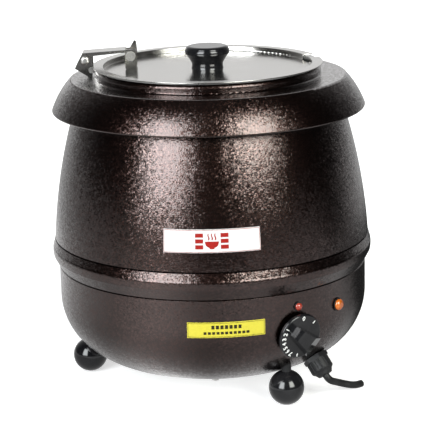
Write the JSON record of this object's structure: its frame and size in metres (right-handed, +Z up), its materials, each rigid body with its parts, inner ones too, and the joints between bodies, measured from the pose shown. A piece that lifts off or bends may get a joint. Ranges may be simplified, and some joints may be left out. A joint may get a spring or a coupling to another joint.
{
  "type": "soup kettle",
  "caption": "Round countertop soup kettle with a hinged notched lid, lift-out pot, water pan, dial thermostat, signal lamps, cord and ball feet.",
  "frame": {"origin": "on the counter, on the kettle's vertical axis, which is the centre of the circle through the three feet", "axes": "+Z up along the kettle's axis, -Y towards the front that carries the name plate, +X to the right, the lid's hinge on the left at -X"},
  "size_m": [0.34, 0.34, 0.36],
  "materials": {
    "hammered_paint": "dark brown hammered enamel, semi-gloss",
    "plated_steel": "zinc plated, dull",
    "brushed_stainless": "satin stainless",
    "polished_stainless": "mirror polished stainless",
    "screw_steel": "bright nickel plated",
    "mineral_wool": "pale fibrous blanket",
    "element_sheath": "heat-darkened steel sheath",
    "black_plastic": "moulded nylon, fine grain",
    "white_plastic": "moulded, satin",
    "copper": "drawn copper",
    "wire_insulation": "brown and blue sleeving",
    "black_rubber": "smooth sheath, soft sheen",
    "amber_lens": "translucent amber, glossy",
    "red_lens": "translucent red, glossy",
    "phenolic": "moulded black phenolic, high gloss",
    "white_plate": "white enamelled plate",
    "yellow_plate": "yellow vinyl plate"
  },
  "bodies": {
    "housing": {"upper_shell": "hammered_paint", "collar_ring": "hammered_paint", "belly_band": "hammered_paint", "lower_shell": "hammered_paint", "base_plate": "plated_steel", "base_plate_screws": "screw_steel", "water_pan": "brushed_stainless", "insulation_blanket": "mineral_wool", "heating_element": "element_sheath", "element_press_plate": "plated_steel", "element_clamp_bar": "plated_steel", "element_clamp_stud": "screw_steel", "element_clamp_nut": "screw_steel", "thermal_cutout": "black_plastic", "thermostat_body": "black_plastic", "thermostat_screws": "screw_steel", "capillary_tube": "copper", "sensing_bulb": "copper", "bulb_clip": "screw_steel", "terminal_block": "white_plastic", "wiring_leads": "wire_insulation", "cord_cores": "wire_insulation", "earth_screw": "screw_steel", "pilot_lamp_lens": "amber_lens", "pilot_lamp_body": "black_plastic", "pilot_lamp_nut": "black_plastic", "index_lamp_lens": "red_lens", "index_lamp_body": "black_plastic", "cord_gland": "black_plastic", "gland_nut": "black_plastic", "power_cord": "black_rubber", "ball_feet": "phenolic", "foot_spacers": "black_plastic", "foot_pads": "plated_steel", "foot_studs": "screw_steel", "foot_nuts": "screw_steel", "name_plate": "white_plate", "hot_surface_plate": "yellow_plate"},
    "pot": {"soup_pot": "brushed_stainless", "hinge_bracket": "polished_stainless", "pivot_pin": "screw_steel", "clamp_screw": "screw_steel"},
    "lid": {"lid_plate": "polished_stainless", "lid_knob": "phenolic", "knob_washer": "screw_steel", "knob_screw": "screw_steel", "hinge_arm": "polished_stainless", "lid_brackets": "polished_stainless", "ear_screws": "screw_steel", "ear_nuts": "screw_steel"},
    "dial": {"dial_knob": "phenolic", "thermostat_shaft": "screw_steel"}
  },
  "joints": [
    {"name": "pot_lift", "type": "slide", "parent": "housing", "child": "pot", "axis": [0, 0, 1], "range_m": [0, 0.26]},
    {"name": "lid_hinge", "type": "hinge", "parent": "pot", "child": "lid", "pos_m": [-0.128, 0.013, 0.3435], "axis": [0, -1, 0], "range_deg": [0, 100]},
    {"name": "dial_turn", "type": "hinge", "parent": "housing", "child": "dial", "pos_m": [0.08384, -0.13953, 0.083], "axis": [-0.5072, 0.8442, 0.1733], "range_deg": [0, 270]}
  ]
}
